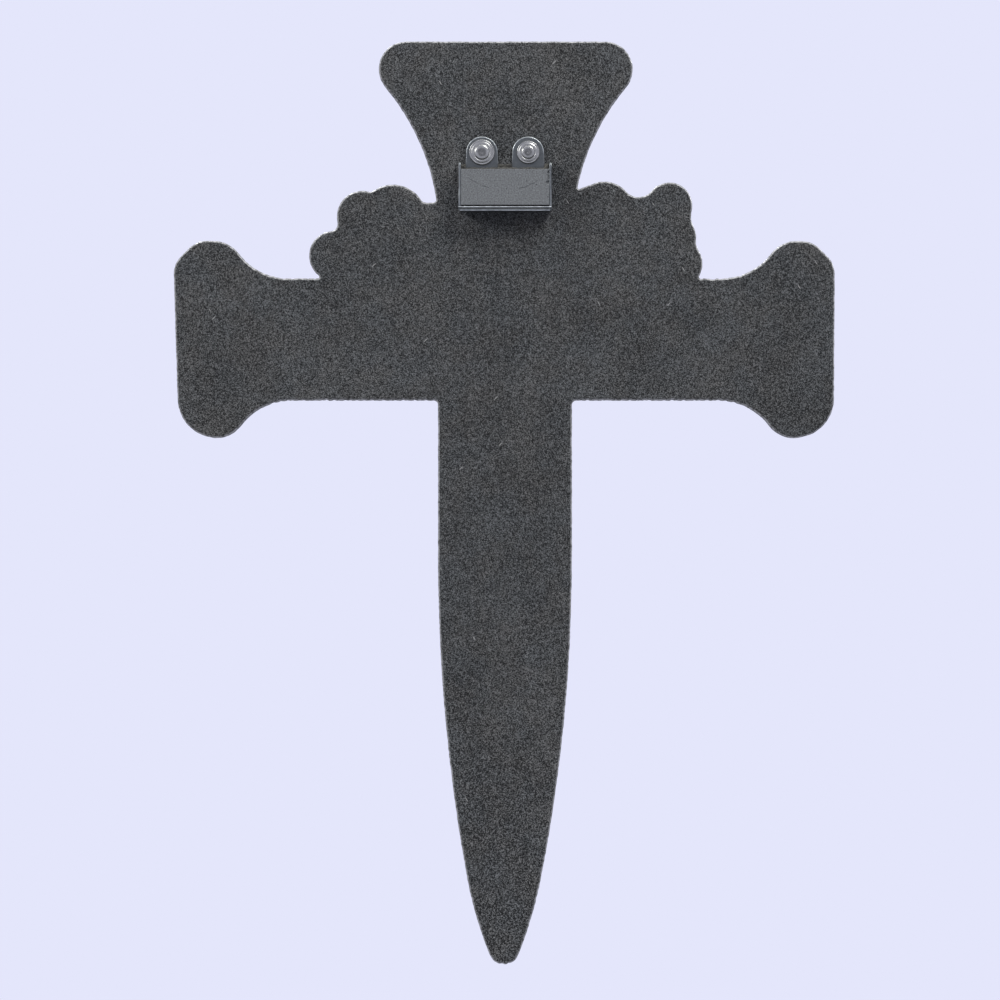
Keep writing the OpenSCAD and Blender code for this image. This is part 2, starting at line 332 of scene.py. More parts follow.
def grey(level, warmth=0.0):
    """A grey of an sRGB level from 0 to 255, bluish for negative warmth."""
    share = level / 255
    linear = ((share + 0.055) / 1.055) ** 2.4
    return (linear * (1 + warmth), linear, linear * (1 - warmth))


# --- finishes ----------------------------------------------------------------
def cast_metal():
    """Grainy dark cast metal, smoother on its front and brighter on rounded edges and ridges; on the back's
    rounded edge the light tone is partly wear and partly a painted highlight.
    """
    made = Finish("cast_metal", **{"Specular IOR Level": 0.1})
    grain = made.noise(3.0, 1.0, 0.6)
    fine = made.noise(4.6, 1.0, 0.5)
    coarse = made.noise(0.6, 2.0, 0.6)
    blotch = made.noise(0.05, 3.0, 0.55)
    pit_gap, pit_chance = made.cells(1.3)
    speck_gap, speck_chance = made.cells(1.5)
    low = made.z.between(-130 * MM, -245 * MM)
    front = made.y.between(FRONT_Y + 0.9 * MM, FRONT_Y + 0.1 * MM)
    back = made.y.between(BACK_Y - 0.5 * MM, BACK_Y)
    contrast = (1 + low * 0.6) * (1 - front * 0.6)
    pits = pit_gap.between(0.38, 0.16) * pit_chance.between(0.5, 0.7)
    specks = speck_gap.between(0.36, 0.18) * speck_chance.between(0.86, 0.92)
    tone = (
        1.0
        + (grain - 0.5) * contrast * 6.8
        + (fine - 0.5) * contrast * 5.2
        + (coarse - 0.5) * contrast * 0.9
        + (blotch - 0.5) * 1.0
        - low * 0.04
        + front * 0.25
        - pits * 0.35
        + specks * 0.9
    )
    tone = made.node("ShaderNodeClamp", sockets={0: tone, 1: 0.22, 2: 4.0}).outputs[0]
    hue = made.noise(0.09, 3.0, 0.6)
    dull = made.shade(made.blend(hue.between(0.3, 0.7), grey(76, -0.05), grey(76, -0.005)), tone)
    dull = made.blend(scratches(made) * back, dull, grey(165))
    # The back's rounded edge is painted lighter: partly worn bare metal, partly a painted highlight along the
    # rim.
    back_edge = made.y.between(BACK_Y - 0.03 * MM, BACK_Y - 0.16 * MM)
    back_edge = back_edge * made.y.between(BACK_Y - 1.1 * MM, BACK_Y - 0.6 * MM)
    broken = made.noise(0.9, 2.0, 0.6).between(0.36, 0.58)
    ridge = Value(made, made.node("ShaderNodeAttribute", {"attribute_name": "ridge"}).outputs["Fac"])
    rubbed = ridge.between(0.03, 0.22) * made.y.between(FRONT_Y - 0.15 * MM, FRONT_Y - 0.7 * MM)
    wear_and_edge_sheen = back_edge * (0.25 + broken * 0.7) + rubbed * (0.55 + broken * 0.35)
    colour = made.blend(wear_and_edge_sheen, dull, grey(166, 0.0))
    roughness = 0.62 - wear_and_edge_sheen * 0.24 - front * 0.1
    height = (grain * 0.6 + fine * 0.2 + coarse * 0.3 - pits * 0.3) * (1 - wear_and_edge_sheen * 0.75) * (1 - front * 0.5)
    metallic = 0.05 + front * 0.55 + wear_and_edge_sheen * 0.4
    return made.finished(colour, roughness, height, depth=0.2, strength=0.6, metallic=metallic)


def scratches(made):
    """Short bright scratches in two directions."""
    total = None
    for turn, shift in ((0.55, 0.0), (-0.8, 13 * MM)):
        gap, chance = made.cells(0.34, made.stretched((1, 1, 6), (0, turn, 0), (shift, 0, shift)))
        marks = gap.between(0.065, 0.03) * chance.between(0.74, 0.76)
        total = marks if total is None else total + marks
    return total


def sheet_steel():
    """Dark sheet steel with fine marks from rolling and bending."""
    made = Finish("sheet_steel", Metallic=0.9)
    rolled = made.noise(1.2, 3.0, 0.6, made.stretched((9, 1, 1)))
    stain = made.noise(0.5, 3.0, 0.55)
    fine = made.noise(3.0, 2.0, 0.6)
    tone = 0.8 + rolled * 0.2 + (stain - 0.5) * 0.5 + (fine - 0.5) * 0.5
    dull = made.shade((0.118, 0.128, 0.126), tone)
    edge = Value(made, made.node("ShaderNodeAttribute", {"attribute_name": "edge"}).outputs["Fac"])
    # Faces marked in the attribute edge are painted lighter: a painted highlight on the rounded edges, broken
    # up by noise.
    painted_edge_highlight = edge * (0.45 + made.noise(0.7, 2.0, 0.6).between(0.3, 0.65) * 0.55)
    colour = made.blend(painted_edge_highlight, dull, (0.535, 0.565, 0.555))
    return made.finished(colour, 0.3 + stain * 0.16, fine * 0.6 + rolled * 0.4, depth=0.04, strength=0.4)


def ferrite():
    """Matt grey sintered block with pits, a scuffed arc and specks of dust."""
    made = Finish("ferrite", **{"Specular IOR Level": 0.3})
    fine = made.noise(2.2, 2.0, 0.6)
    cloud = made.noise(0.25, 3.0, 0.5)
    pit_gap, pit_chance = made.cells(0.6)
    pits = pit_gap.between(0.22, 0.1) * pit_chance.between(0.66, 0.72)
    dust_gap, dust_chance = made.cells(0.8)
    dust = dust_gap.between(0.22, 0.1) * dust_chance.between(0.84, 0.88)
    rise = made.z - 18.6 * MM
    reach = made.node("ShaderNodeMath", {"operation": "SQRT"}, {0: made.x * made.x + rise * rise}).outputs[0]
    away = abs(made.x - 0.3 * MM)
    off = abs(Value(made, reach) - (19.6 * MM + (made.noise(0.4) - 0.5) * (0.9 * MM)))
    scuff = off.between(0.2 * MM, 0.05 * MM) * made.noise(0.9, 2.0).between(0.3, 0.45)
    scuff = scuff * away.between(4.3 * MM, 5.2 * MM) * away.between(12.0 * MM, 10.5 * MM)
    tone = 1.0 + (fine - 0.5) * 2.0 + (cloud - 0.5) * 0.2 - pits * 0.5 - scuff * 0.55 + dust * 0.3
    colour = made.shade(grey(119, -0.055), tone)
    height = fine * 0.4 - pits * 0.8 - scuff * 0.5
    return made.finished(colour, 0.55 + cloud * 0.2, height, depth=0.08, strength=0.5)


def adhesive():
    """Dark brown adhesive with a dull skin."""
    made = Finish("adhesive", **{"Specular IOR Level": 0.3})
    cloud = made.noise(0.8, 3.0, 0.6)
    fine = made.noise(2.4, 2.0, 0.6)
    colour = made.blend(cloud.between(0.35, 0.65), (0.030, 0.029, 0.026), (0.088, 0.085, 0.074))
    return made.finished(colour, 0.4 + cloud * 0.3, fine * 0.5 + cloud, depth=0.12, strength=0.5)


def rivet_metal(place):
    """Bright set metal with fine rings round the rivet's axis."""
    made = Finish("rivet_metal_" + place.name.split("_")[-1], Metallic=1.0)
    x = made.x - place.x
    z = made.z - place.z
    reach = made.node("ShaderNodeMath", {"operation": "SQRT"}, {0: x * x + z * z}).outputs[0]
    ringed = made.node("ShaderNodeCombineXYZ", sockets={0: reach}).outputs[0]
    rings = made.noise(3.0, 3.0, 0.7, ringed)
    smear = made.noise(0.8, 3.0, 0.55)
    dirt = made.noise(2.2, 3.0, 0.6).between(0.5, 0.7)
    # The flat disc round the middle is darkened as a painted dark reflection.
    disc = Value(made, reach).between(0.36 * place.r, 0.3 * place.r)
    tone = 0.85 + (rings - 0.5) * 0.6 + (smear - 0.5) * 0.6 - dirt * 0.2 - disc * 0.36
    colour = made.shade((0.362, 0.364, 0.341), tone)
    roughness = 0.2 + smear * 0.12 + dirt * 0.15
    return made.finished(colour, roughness, rings + smear * 0.5, depth=0.02, strength=0.5)


# --- the casting -----------------------------------------------------------------
def on_plate(x, z, height):
    """The place at x and z, at a height in millimetres above the plate's front."""
    return Vector((x, FRONT_Y - height * MM, z))


def plate(outline, back_r, front_r):
    """The plate that the outline bounds, rounded along its back and its front edge."""
    bm = bmesh.new()
    rim = [bm.verts.new((p.x, BACK_Y, p.y)) for p in outline]
    back = bm.faces.new(rim)
    grown = bmesh.ops.extrude_face_region(bm, geom=[back])
    verts = [g for g in grown["geom"] if isinstance(g, bmesh.types.BMVert)]
    bmesh.ops.translate(bm, vec=(0, -PLATE_T, 0), verts=verts)
    for level, radius in ((BACK_Y, back_r), (FRONT_Y, front_r)):
        edges = [e for e in bm.edges if all(abs(v.co.y - level) < SAME_HERE for v in e.verts)]
        bmesh.ops.bevel(
            bm, geom=edges, offset=radius, segments=4, profile=0.5,
            affect="EDGES", material=-1, clamp_overlap=False,
        )
    return plain_mesh("plate", bm)


def bead(outline, radius, height):
    """A half-round bead along an outline on the plate's front."""
    curve = bpy.data.curves.new("bead", "CURVE")
    curve.dimensions = "3D"
    curve.bevel_depth = radius
    curve.bevel_resolution = 3
    line = curve.splines.new("POLY")
    line.points.add(len(outline) - 1)
    for point, place in zip(line.points, outline):
        point.co = (place.x, 0, place.y, 1)
    line.use_cyclic_u = True
    piece = bpy.data.objects.new("bead", curve)
    mesh = bpy.data.meshes.new_from_object(piece)
    bpy.data.objects.remove(piece)
    bm = bmesh.new()
    bm.from_mesh(mesh)
    bmesh.ops.scale(bm, vec=(1, height / radius, 1), verts=bm.verts)
    bmesh.ops.translate(bm, vec=(0, FRONT_Y, 0), verts=bm.verts)
    return plain_mesh("bead", bm)


def closed_below(bm, depth):
    """Gives a relief's open skin a wall and a floor inside the plate."""
    edges = [e for e in bm.edges if e.is_boundary]
    grown = bmesh.ops.extrude_edge_only(bm, edges=edges)
    verts = [g for g in grown["geom"] if isinstance(g, bmesh.types.BMVert)]
    for vert in verts:
        vert.co.y = FRONT_Y + depth
    bmesh.ops.contextual_create(bm, geom=[g for g in grown["geom"] if isinstance(g, bmesh.types.BMEdge)])
    return plain_mesh("relief", bm)


def eased(value):
    """0 below 0 and 1 above 1, smooth between them."""
    value = min(1.0, max(0.0, value))
    return value * value * (3 - 2 * value)


class Petal:
    """One petal of a rose of radius 1: a cupped shell whose outer lip is turned back."""

    def __init__(self, angle, distance, size, top, lean):
        self.cos, self.sin = math.cos(angle), math.sin(angle)
        self.distance, self.size, self.top, self.lean = distance, size, top, lean

    def height(self, x, z):
        along = (x * self.cos + z * self.sin - self.distance) / self.size
        across = (z * self.cos - x * self.sin) / (self.size * 1.15)
        reach = math.hypot(along, across)
        if reach >= 1:
            return 0.0
        cup = 0.74 + 0.26 * eased((along + 0.35) / 1.0) + self.lean * across
        lip = (1 - reach ** 7) ** 0.5
        crease = 0.035 * math.exp(-((across / 0.12) ** 2)) * eased(along + 0.3)
        return self.top * (cup - crease) * (0.35 + 0.65 * lip)


# Whorls of a rose of radius 1: petals, distance from the middle, size and height of their tops
WHORLS = ((5, 0.56, 0.44, 0.50), (5, 0.40, 0.37, 0.70), (4, 0.25, 0.29, 0.86), (3, 0.11, 0.19, 1.0))
PETAL_LEAN = 0.09


def rose_petals(seed):
    """Four whorls of petals, each turned against the one outside it."""
    chance = random.Random(seed)
    petals = []
    turn = chance.uniform(0, 2)
    for count, distance, size, top in WHORLS:
        for i in range(count):
            angle = turn + 2 * math.pi * (i + chance.uniform(-0.1, 0.1)) / count
            spread = chance.uniform(0.95, 1.04)
            reached = top * chance.uniform(0.95, 1.0)
            petals.append(Petal(angle, distance, size * spread, reached, PETAL_LEAN))
        turn += math.pi / count + 0.35
    return petals


def rose(x, z, radius, height, rings, steps, seed):
    """A rose in relief: a spun disc whose points rise to its petals."""
    bm = bmesh.new()
    row = [bm.verts.new((radius * i / rings, 0, 0)) for i in range(rings + 1)]
    for a, b in zip(row, row[1:]):
        bm.edges.new((a, b))
    bmesh.ops.spin(
        bm, geom=bm.verts[:] + bm.edges[:], cent=(0, 0, 0), axis=(0, 1, 0), dvec=(0, 0, 0),
        angle=2 * math.pi, steps=steps, use_merge=True,
    )
    bmesh.ops.remove_doubles(bm, verts=bm.verts, dist=SAME_HERE)
    petals = rose_petals(seed)
    bud = Vector((0.02, 0.01))
    for vert in bm.verts:
        u, w = vert.co.x / radius, vert.co.z / radius
        reach = math.hypot(u, w)
        rise = max(petal.height(u, w) for petal in petals)
        rise = max(rise, 0.9 * (1 - (math.hypot(u - bud.x, w - bud.y) / 0.14) ** 2), 0.3 * (1 - reach ** 4))
        rise *= eased((1.0 - reach) / 0.05) * 0.35 + 0.65
        vert.co = on_plate(x + vert.co.x, z + vert.co.z, rise * height / MM * 0.985)
    for _ in range(2):
        bmesh.ops.smooth_vert(
            bm, verts=[v for v in bm.verts if not v.is_boundary], factor=0.35,
            use_axis_x=True, use_axis_y=True, use_axis_z=True,
        )
    return closed_below(bm, 1.0 * MM)


def leaf(x, z, angle, length, width, height):
    """A toothed leaf with a midrib and side veins, its stalk at x and z."""
    bm = bmesh.new()
    bmesh.ops.create_grid(bm, x_segments=84, y_segments=26, size=0.5)
    cos, sin = math.cos(angle), math.sin(angle)
    for vert in bm.verts:
        along = vert.co.x + 0.5
        across = vert.co.y * 2
        tooth = 0.1 * ((along * 8) % 1.0) ** 1.5 * eased(along * 6) * eased((1 - along) * 8)
        half = width / 2 * (0.04 + 0.96 * math.sin(math.pi * along ** 0.85) ** 0.8) * (0.93 - tooth * 1.2)
        side = across * half
        rib = 0.5 * math.exp(-((side / (0.75 * MM)) ** 2)) * (1 - 0.6 * along)
        vein = 0.16 * math.sin(2 * math.pi * (along * 7 - abs(across) * 1.3)) * eased(abs(side) / (1.2 * MM))
        camber = 0.66 + 0.34 * math.sin(math.pi * min(1.0, abs(across) * 0.9 + 0.08))
        edge = (1 - abs(across) ** 8) ** 0.5
        rise = height / MM * (0.25 + 0.75 * edge) * (camber * 0.72 + rib * 0.24 + vein * 0.4)
        forward = along * length
        bend = 0.06 * length * math.sin(math.pi * along)
        vert.co = on_plate(
            x + forward * cos - (side + bend) * sin, z + forward * sin + (side + bend) * cos, rise
        )
    bmesh.ops.remove_doubles(bm, verts=bm.verts, dist=0.01 * MM)
    return closed_below(bm, 1.0 * MM)


def mark_ridges(mesh):
    """Stores how far each vertex stands out from its neighbours, as the attribute ridge."""
    bm = bmesh.new()
    bm.from_mesh(mesh)
    bm.normal_update()
    marks = []
    for vert in bm.verts:
        ways = [(vert.co - e.other_vert(vert).co).normalized() for e in vert.link_edges]
        marks.append(max((vert.normal.dot(way) for way in ways), default=0.0))
    bm.free()
    attribute = mesh.attributes.new("ridge", "FLOAT", "POINT")
    attribute.data.foreach_set("value", marks)


# Blooms of the spray: X, height above the beam's upper edge and radius, in mm
BLOOMS = (
    (55.6, 7.3, 8.1), (46.3, 20.1, 8.4), (36.4, 19.5, 11.0),
    (-32.2, 21.9, 9.6), (-53.4, 23.7, 7.5), (-54.2, 13.1, 8.0), (-56.0, 4.8, 8.2),
)
# Directions of the leaves round the middle rose
LEAF_ANGLES = (20, 160, 200, 340, 250, 290)
# Leaves between the blooms: the stalk's X, its height above the beam's upper edge, direction, length, width
SPRAY_LEAVES = (
    (20.5, 5.0, 58, 19, 9), (25.0, 1.5, 30, 23, 11), (38.0, 1.5, 62, 20, 10), (40.0, 3.0, 10, 22, 9),
    (-20.0, 5.0, 125, 19, 9), (-24.0, 1.5, 152, 23, 11), (-38.0, 1.5, 100, 24, 11), (-36.0, 5.0, 140, 24, 10),
)
LEAF_STALK = 12 * MM
LEAF_L, LEAF_W, LEAF_H = 29.5 * MM, 12.6 * MM, 2.0 * MM
SPRAY_LEAF_H = 1.7 * MM
ROSE_R, ROSE_H = 16 * MM, 5 * MM
RIM_W = 2.6 * MM
RIM_H = 1.4 * MM
SHANK_R = 2 * MM
SHANK_CHAMFER = 0.3 * MM
HOLE_R = SHANK_R + 0.05 * MM
HOLE_DEPTH = 3 * MM


def spray():
    """The leaves and blooms in relief, the middle rose last."""
    relief = []
    for x, up, angle, length, width in SPRAY_LEAVES:
        turn = math.radians(angle)
        relief.append(leaf(x * MM, BEAM_TOP + up * MM, turn, length * MM, width * MM, SPRAY_LEAF_H))
    for angle in LEAF_ANGLES:
        turn = math.radians(angle)
        x, z = LEAF_STALK * math.cos(turn), ROSE_Z + LEAF_STALK * math.sin(turn)
        relief.append(leaf(x, z, turn, LEAF_L, LEAF_W, LEAF_H))
    for i, (x, up, radius) in enumerate(BLOOMS):
        radius, height = (radius - 0.7) * MM, (3.6 + 0.6 * (i % 2)) * MM
        relief.append(rose(x * MM, BEAM_TOP + up * MM, radius, height, rings=26, steps=112, seed=11 + i))
    relief.append(rose(0, ROSE_Z, ROSE_R, ROSE_H, rings=52, steps=200, seed=3))
    return relief


def rivet_holes(rivets):
    """Plugs of the holes that the rivets' shanks go into."""
    holes = []
    for place in rivets:
        bm = bmesh.new()
        bmesh.ops.create_cone(
            bm, cap_ends=True, segments=48, radius1=HOLE_R, radius2=HOLE_R, depth=2 * HOLE_DEPTH,
        )
        bmesh.ops.rotate(bm, matrix=Matrix.Rotation(math.pi / 2, 3, "X"), verts=bm.verts)
        bmesh.ops.translate(bm, vec=(place.x, BACK_Y, place.z), verts=bm.verts)
        holes.append(plain_mesh("hole", bm))
    return holes


def cross_casting(finish, rivets):
    """The cast cross: a ragged plate, its front rim, roses and leaves, and the rivets' holes."""
    outline = spaced(max(outlines_at(BACK_Y), key=len), 0.45 * MM)
    blank = plate(moved_out(outline, bites(outline)), back_r=0.85 * MM, front_r=1.0 * MM)
    rim_rows = sorted(outlines_at(FRONT_Y - RIM_H), key=len)[-2:]
    inner = spaced(min(rim_rows, key=lambda row: max(p.x for p in row)), 1.0 * MM)
    rim = bead(moved_out(inner, [RIM_W / 2] * len(inner)), RIM_W / 2, RIM_H)
    mesh = combined("casting", blank, [rim, *spray()], "UNION")
    mesh = combined("cross_casting_relief", mesh, rivet_holes(rivets), "DIFFERENCE")
    mark_ridges(mesh)
    return add_piece("cross_casting_relief", mesh, finish, ["cross_casting"])


# --- the magnet and its tray -------------------------------------------------------
def sharp_edges(bm, angle_deg=30):
    """Edges whose two faces meet at more than angle_deg."""
    limit = math.radians(angle_deg)
    return [e for e in bm.edges if len(e.link_faces) == 2 and e.calc_face_angle(0) > limit]


def rounded(bm, edges, radius, segments, mark=0.0):
    """Rounds some edges and marks their new faces in the attribute edge."""
    edge = bm.faces.layers.float.get("edge") or bm.faces.layers.float.new("edge")
    made = bmesh.ops.bevel(
        bm, geom=edges, offset=radius, segments=segments, profile=0.5,
        affect="EDGES", material=-1, clamp_overlap=False,
    )
    for face in made["faces"]:
        face[edge] = mark


def flat_faced(node):
    """A copy of a node's mesh with each flat face in one piece."""
    bm = merged_copy(node)
    bmesh.ops.dissolve_limit(bm, angle_limit=math.radians(1), verts=bm.verts, edges=bm.edges, delimit=set())
    return bm


def bar(half, radius, y, z):
    """A round bar along X with rounded ends."""
    bm = bmesh.new()
    bmesh.ops.create_cone(bm, cap_ends=True, segments=24, radius1=radius, radius2=radius, depth=2 * half)
    bmesh.ops.rotate(bm, matrix=Matrix.Rotation(math.pi / 2, 3, "Y"), verts=bm.verts)
    rounded(bm, [e for e in sharp_edges(bm) if e.verts[0].co.x * e.verts[1].co.x > 0], radius * 0.7, 3)
    bmesh.ops.translate(bm, vec=(0, y, z), verts=bm.verts)
    return plain_mesh("bar", bm)


def block(low, high):
    bm = bmesh.new()
    bmesh.ops.create_cube(bm, size=1.0)
    bmesh.ops.scale(bm, vec=high - low, verts=bm.verts)
    bmesh.ops.translate(bm, vec=(low + high) / 2, verts=bm.verts)
    return plain_mesh("block", bm)


def magnet_tray(finish):
    """The tray with rounded front edges, painted lighter there as a highlight; its hem is two layers of
    sheet.
    """
    bm = flat_faced("magnet_tray")
    hem_top = TRAY_LOW.z + 2 * SHEET_T
    lug_foot = MAGNET_HIGH.z + 1.2 * MM
    half_t = SHEET_T / 2
    hem_y = TRAY_HIGH.y - half_t

    def on_lug(edge):
        return all(v.co.z > lug_foot and abs(v.co.y - LUG_FACE_Y) < 0.01 * MM for v in edge.verts)

    def on_side(edge):
        return all(v.co.y > LUG_FACE_Y + 0.5 * MM and v.co.z > hem_top for v in edge.verts)

    def on_corner(edge):
        low, far = TRAY_LOW.z + 0.01 * MM, TRAY_HIGH.x - 0.01 * MM
        return all(v.co.z < low and abs(v.co.x) > far for v in edge.verts)

    rounded(bm, [e for e in sharp_edges(bm) if on_corner(e)], 0.55 * MM, 4)
    # The marks 0.7 and 0.25 paint a highlight on the lugs' and the side walls' rounded edges.
    rounded(bm, [e for e in sharp_edges(bm) if on_lug(e)], 0.33 * MM, 4, 0.7)
    rounded(bm, [e for e in sharp_edges(bm) if on_side(e)], 0.22 * MM, 3, 0.25)
    front = block(
        Vector((TRAY_LOW.x - MM, hem_y, TRAY_LOW.z - MM)),
        Vector((TRAY_HIGH.x + MM, TRAY_HIGH.y + MM, hem_top + 0.02 * MM)),
    )
    mesh = combined("tray", plain_mesh("tray", bm), [front], "DIFFERENCE")
    layers = [
        bar(TRAY_HIGH.x - 0.4 * MM, half_t, hem_y, TRAY_LOW.z + half_t),
        bar(TRAY_HIGH.x, half_t, hem_y, TRAY_LOW.z + 3 * half_t),
    ]
    mesh = combined("magnet_tray_formed", mesh, layers, "UNION")
    bm = bmesh.new()
    bm.from_mesh(mesh)
    edge = bm.faces.layers.float.get("edge") or bm.faces.layers.float.new("edge")
    # Painted highlights: a faint one on the side walls' tops, full ones along the top and bottom edges of the
    # hem's layers.
    for face in bm.faces:
        middle = face.calc_center_median()
        on_wall = abs(middle.x) > TRAY_HIGH.x - SHEET_T and middle.y > LUG_FACE_Y + 2 * MM
        on_hem_edge = middle.z < TRAY_LOW.z + 0.25 * MM or hem_top > middle.z > hem_top - 0.4 * MM
        if middle.z > hem_top and on_wall:
            face[edge] = 0.2
        elif middle.y > hem_y and on_hem_edge:
            face[edge] = 1.0
    mesh = plain_mesh("magnet_tray_formed", bm)
    return add_piece("magnet_tray_formed", mesh, finish, ["magnet_tray"])


CHIPS = 12
# Widens the block until it all but touches the tray's side walls
BLOCK_STRETCH = 1.0034


def magnet_block(finish):
    """The block, chipped along its upper right edge as seen from behind."""
    bm = flat_faced("magnet_block")
    rounded(bm, sharp_edges(bm), 0.1 * MM, 2)
    bmesh.ops.scale(bm, vec=(BLOCK_STRETCH, 1, 1), verts=bm.verts)
    sintered = plain_mesh("magnet_block_sintered", bm)
    chance = random.Random(5)
    chips = []
    for i in range(CHIPS):
        bm = bmesh.new()
        bmesh.ops.create_icosphere(bm, subdivisions=3, radius=chance.uniform(0.38, 0.78) * MM)
        for vert in bm.verts:
            vert.co *= 1 + 0.35 * noise.noise(vert.co / MM * 2.6 + Vector((i * 7, 0, 0)))
        x = MAGNET_LOW.x + chance.uniform(-0.15, 0.35) * MM
        y = MAGNET_HIGH.y + chance.uniform(0.0, 0.25) * MM
        z = (1.1 + 3.9 * i / (CHIPS - 1) + chance.uniform(-0.2, 0.2)) * MM
        bmesh.ops.translate(bm, verts=bm.verts, vec=(x, y, z))
        chips.append(plain_mesh("chip", bm))
    sintered = combined("magnet_block_sintered", sintered, chips, "DIFFERENCE")
    return add_piece("magnet_block_sintered", sintered, finish, ["magnet_block"])


LUMPS = 62


def adhesive_bed(finish):
    """The bed under the block, and the lumpy bead squeezed out above it."""
    bm = merged_copy("adhesive_bed")
    chance = random.Random(8)
    for i in range(LUMPS):
        x = GLUE_LOW.x + (GLUE_HIGH.x - GLUE_LOW.x) * (i + 0.5) / LUMPS
        corner = max(0.0, (abs(x) - 12.6 * MM) / (1.4 * MM))
        rise = (0.35 + 0.95 * corner + chance.uniform(-0.12, 0.16)) * MM
        lump = bmesh.ops.create_icosphere(bm, subdivisions=2, radius=1.0)["verts"]
        size = (chance.uniform(0.4, 0.75) * MM, chance.uniform(0.35, 0.6) * MM, rise + 0.35 * MM)
        bmesh.ops.scale(bm, vec=size, verts=lump)
        bmesh.ops.translate(bm, vec=(x, GLUE_HIGH.y - 0.35 * MM, MAGNET_HIGH.z + rise * 0.35), verts=lump)
    mesh = worked("adhesive_squeezed", plain_mesh("adhesive", bm), [
        ("REMESH", {"mode": "VOXEL", "voxel_size": 0.16 * MM}),
        ("SMOOTH", {"factor": 0.5, "iterations": 2}),
    ])
    for vert in mesh.vertices:
        if vert.co.z > MAGNET_HIGH.z + 1.4 * MM:
            lobes = noise.noise(Vector((vert.co.x / MM * 0.55, 3, 0)))
            ragged = 0.5 + lobes + 0.4 * noise.noise(vert.co / MM * 1.7)
            vert.co.z -= max(0.0, ragged) * 0.5 * MM
        vert.co = [min(max(c, a), b) for c, a, b in zip(vert.co, GLUE_LOW, GLUE_HIGH)]
    return add_piece("adhesive_squeezed", mesh, finish, ["adhesive_bed"])


class RivetPlace:
    """Where one rivet sits, read from its node."""

    def __init__(self, name):
        low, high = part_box(name)
        self.name = name
        self.x = (low.x + high.x) / 2
        self.z = (low.z + high.z) / 2
        self.r = (high.x - low.x) / 2
        self.tail = low.y
        self.face = LUG_FACE_Y


# Half the width, in mm, of the head whose profile the functions below give
HEAD_R = 4.2


def arc(reach, rise, width, height, turn_deg, count):
    """Points in mm on an arc from its top outwards, as distances from the axis and heights."""
    turns = [math.radians(turn_deg * i) for i in range(count)]
    return [(reach + width * math.sin(turn), rise + height * math.cos(turn)) for turn in turns]


def head_profile():
    """A rivet's head from its axis outwards: dimple, boss, valley, raised ring and rolled rim."""
    dimple = [(0, 1.46), (0.25, 1.47), (0.42, 1.54), (0.6, 1.57)]
    boss = arc(1.45, 1.08, 1.0, 0.5, 9, 9)
    valley = [(2.46, 1.12), (2.54, 1.09), (2.62, 1.1)]
    ring = [(2.7, 1.14), (2.8, 1.17), (2.95, 1.16), (3.3, 1.06), (3.5, 0.96), (3.6, 0.94), (3.7, 0.97)]
    rim = arc(3.87, 0.68, 0.33, 0.33, 15, 7)
    return [*dimple, *boss, *valley, *ring, *rim, (HEAD_R, 0.15), (4.16, 0.0)]


def rivet(place, finish):
    """A set rivet, its profile turned about its axis."""
    share = place.r / (HEAD_R * MM)
    bm = bmesh.new()
    row = [bm.verts.new((r * share * MM, place.face + h * MM, 0)) for r, h in head_profile()]
    shank = (
        (SHANK_R, place.face), (SHANK_R, place.tail + SHANK_CHAMFER),
        (SHANK_R - SHANK_CHAMFER, place.tail), (0, place.tail),
    )
    row += [bm.verts.new((r, y, 0)) for r, y in shank]
    for a, b in zip(row, row[1:]):
        bm.edges.new((a, b))
    bmesh.ops.spin(
        bm, geom=bm.verts[:] + bm.edges[:], cent=(0, 0, 0), axis=(0, 1, 0), dvec=(0, 0, 0),
        angle=2 * math.pi, steps=96, use_merge=True,
    )
    bmesh.ops.remove_doubles(bm, verts=bm.verts, dist=SAME_HERE)
    bmesh.ops.translate(bm, vec=(place.x, 0, place.z), verts=bm.verts)
    name = place.name + "_set"
    return add_piece(name, plain_mesh(name, bm), finish, [place.name], sharp_deg=60)


# --- surroundings --------------------------------------------------------------
BACKDROP = (0.776, 0.791, 0.965, 1)
FLOOR = (0.50, 0.51, 0.62, 1)
FLOOR_BOUNCE = (0.30, 0.305, 0.34, 1)


def seen_directly(nodes, links):
    """1 for rays from the camera and for reflected and refracted ones, which show the backdrop."""
    rays = nodes.new("ShaderNodeLightPath")
    share = rays.outputs["Is Camera Ray"]
    for kind in ("Is Glossy Ray", "Is Transmission Ray"):
        either = nodes.new("ShaderNodeMath")
        either.operation = "MAXIMUM"
        links.new(share, either.inputs[0])
        links.new(rays.outputs[kind], either.inputs[1])
        share = either.outputs[0]
    return share


def world():
    made = bpy.data.worlds.new("studio")
    made.use_nodes = True
    nodes, links = made.node_tree.nodes, made.node_tree.links
    nodes.clear()
    ambient = nodes.new("ShaderNodeBackground")
    ambient.inputs["Color"].default_value = (1, 1, 1, 1)
    ambient.inputs["Strength"].default_value = 0.12
    backdrop = nodes.new("ShaderNodeBackground")
    backdrop.inputs["Color"].default_value = BACKDROP
    mix = nodes.new("ShaderNodeMixShader")
    links.new(seen_directly(nodes, links), mix.inputs[0])
    links.new(ambient.outputs[0], mix.inputs[1])
    links.new(backdrop.outputs[0], mix.inputs[2])
    out = nodes.new("ShaderNodeOutputWorld")
    links.new(mix.outputs[0], out.inputs[0])
    bpy.context.scene.world = made


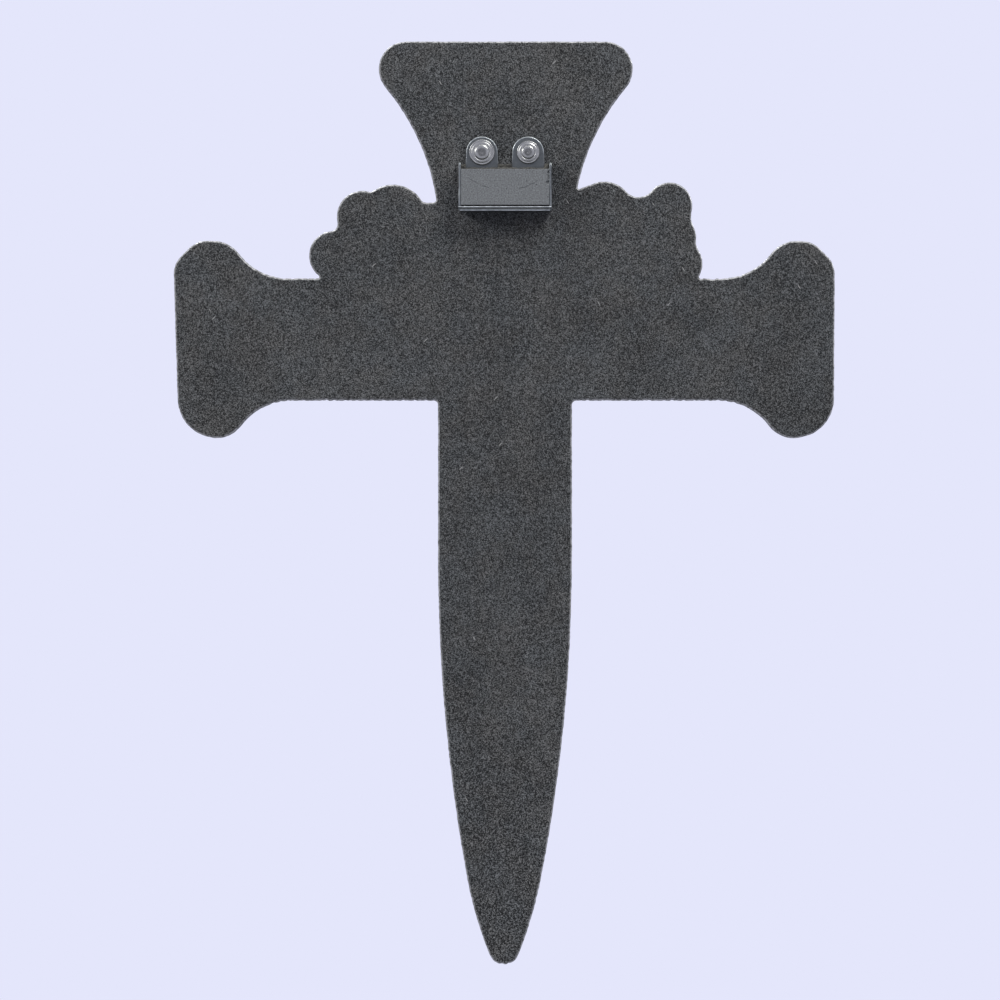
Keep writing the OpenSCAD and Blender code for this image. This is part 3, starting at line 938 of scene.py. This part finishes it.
def floor():
    """A pale floor that keeps the shadow near the cross and fades into the backdrop further out."""
    bm = bmesh.new()
    bmesh.ops.create_grid(bm, x_segments=1, y_segments=1, size=4)
    bmesh.ops.translate(bm, vec=(0, 0, CAST_LOW.z - 100 * MM), verts=bm.verts)
    mesh = bpy.data.meshes.new("floor")
    bm.to_mesh(mesh)
    bm.free()
    made = Finish("floor", **{"Roughness": 0.9, "Specular IOR Level": 0.0})
    seen = Value(made, seen_directly(made.nodes, made.links))
    made.finished(made.blend(seen, FLOOR_BOUNCE, FLOOR))
    distance = made.node("ShaderNodeMath", {"operation": "SQRT"}, {0: made.x * made.x + made.y * made.y})
    far = Value(made, distance.outputs[0]).between(0.2, 0.75)
    shown = far * seen
    glow = made.node("ShaderNodeEmission", sockets={"Color": BACKDROP, "Strength": 1.0})
    mix = made.node("ShaderNodeMixShader", sockets={0: shown, 1: made.shader.outputs[0], 2: glow.outputs[0]})
    output = next(n for n in made.nodes if n.bl_idname == "ShaderNodeOutputMaterial")
    made.links.new(mix.outputs[0], output.inputs["Surface"])
    mesh.materials.append(made.material)
    obj = bpy.data.objects.new("floor", mesh)
    bpy.context.scene.collection.objects.link(obj)


LIT_PLACE = Vector((0, 0, -0.1))
LAMP_AWAY = 1.3


def softbox(name, direction, size, radiance):
    """A square lamp that faces the cross, as bright as radiance all over."""
    place = LIT_PLACE + Vector(direction).normalized() * LAMP_AWAY
    light = bpy.data.lights.new(name, "AREA")
    light.shape = "SQUARE"
    light.size = size
    light.energy = radiance * math.pi * size * size
    obj = bpy.data.objects.new(name, light)
    obj.location = place
    obj.rotation_euler = (LIT_PLACE - place).to_track_quat("-Z", "Y").to_euler()
    bpy.context.scene.collection.objects.link(obj)


def lights():
    softbox("overhead", (0, 0, 1), 1.1, 1.9)
    for side, name in ((1, "back"), (-1, "front")):
        softbox(name + "_key", (0.75 * side, 0.5 * side, 0.45), 0.45, 12)
        softbox(name + "_top", (-0.41 * side, 0.5 * side, 0.78), 0.45, 15)


CAMERA_AWAY = 1.3
SEEN_WIDTH = 0.3247
# How far the view's middle lies from the casting's
AIM_X, AIM_Z = 1.38 * MM, 1.0 * MM


def camera():
    """Straight behind the cross and level."""
    data = bpy.data.cameras.new("camera")
    data.sensor_width = 36
    data.lens = data.sensor_width * CAMERA_AWAY / SEEN_WIDTH
    obj = bpy.data.objects.new("camera", data)
    middle = (CAST_LOW + CAST_HIGH) / 2
    obj.location = (middle.x + AIM_X, BACK_Y + CAMERA_AWAY, middle.z + AIM_Z)
    obj.rotation_euler = (math.pi / 2, 0, math.pi)
    bpy.context.scene.collection.objects.link(obj)
    bpy.context.scene.camera = obj


scene = bpy.context.scene
scene.view_settings.view_transform = "Standard"
camera()
world()
floor()
lights()

rivet_places = [RivetPlace(name) for name in ("rivet_left", "rivet_right")]
cross_casting(cast_metal(), rivet_places)
magnet_tray(sheet_steel())
magnet_block(ferrite())
adhesive_bed(adhesive())
for rivet_place in rivet_places:
    rivet(rivet_place, rivet_metal(rivet_place))
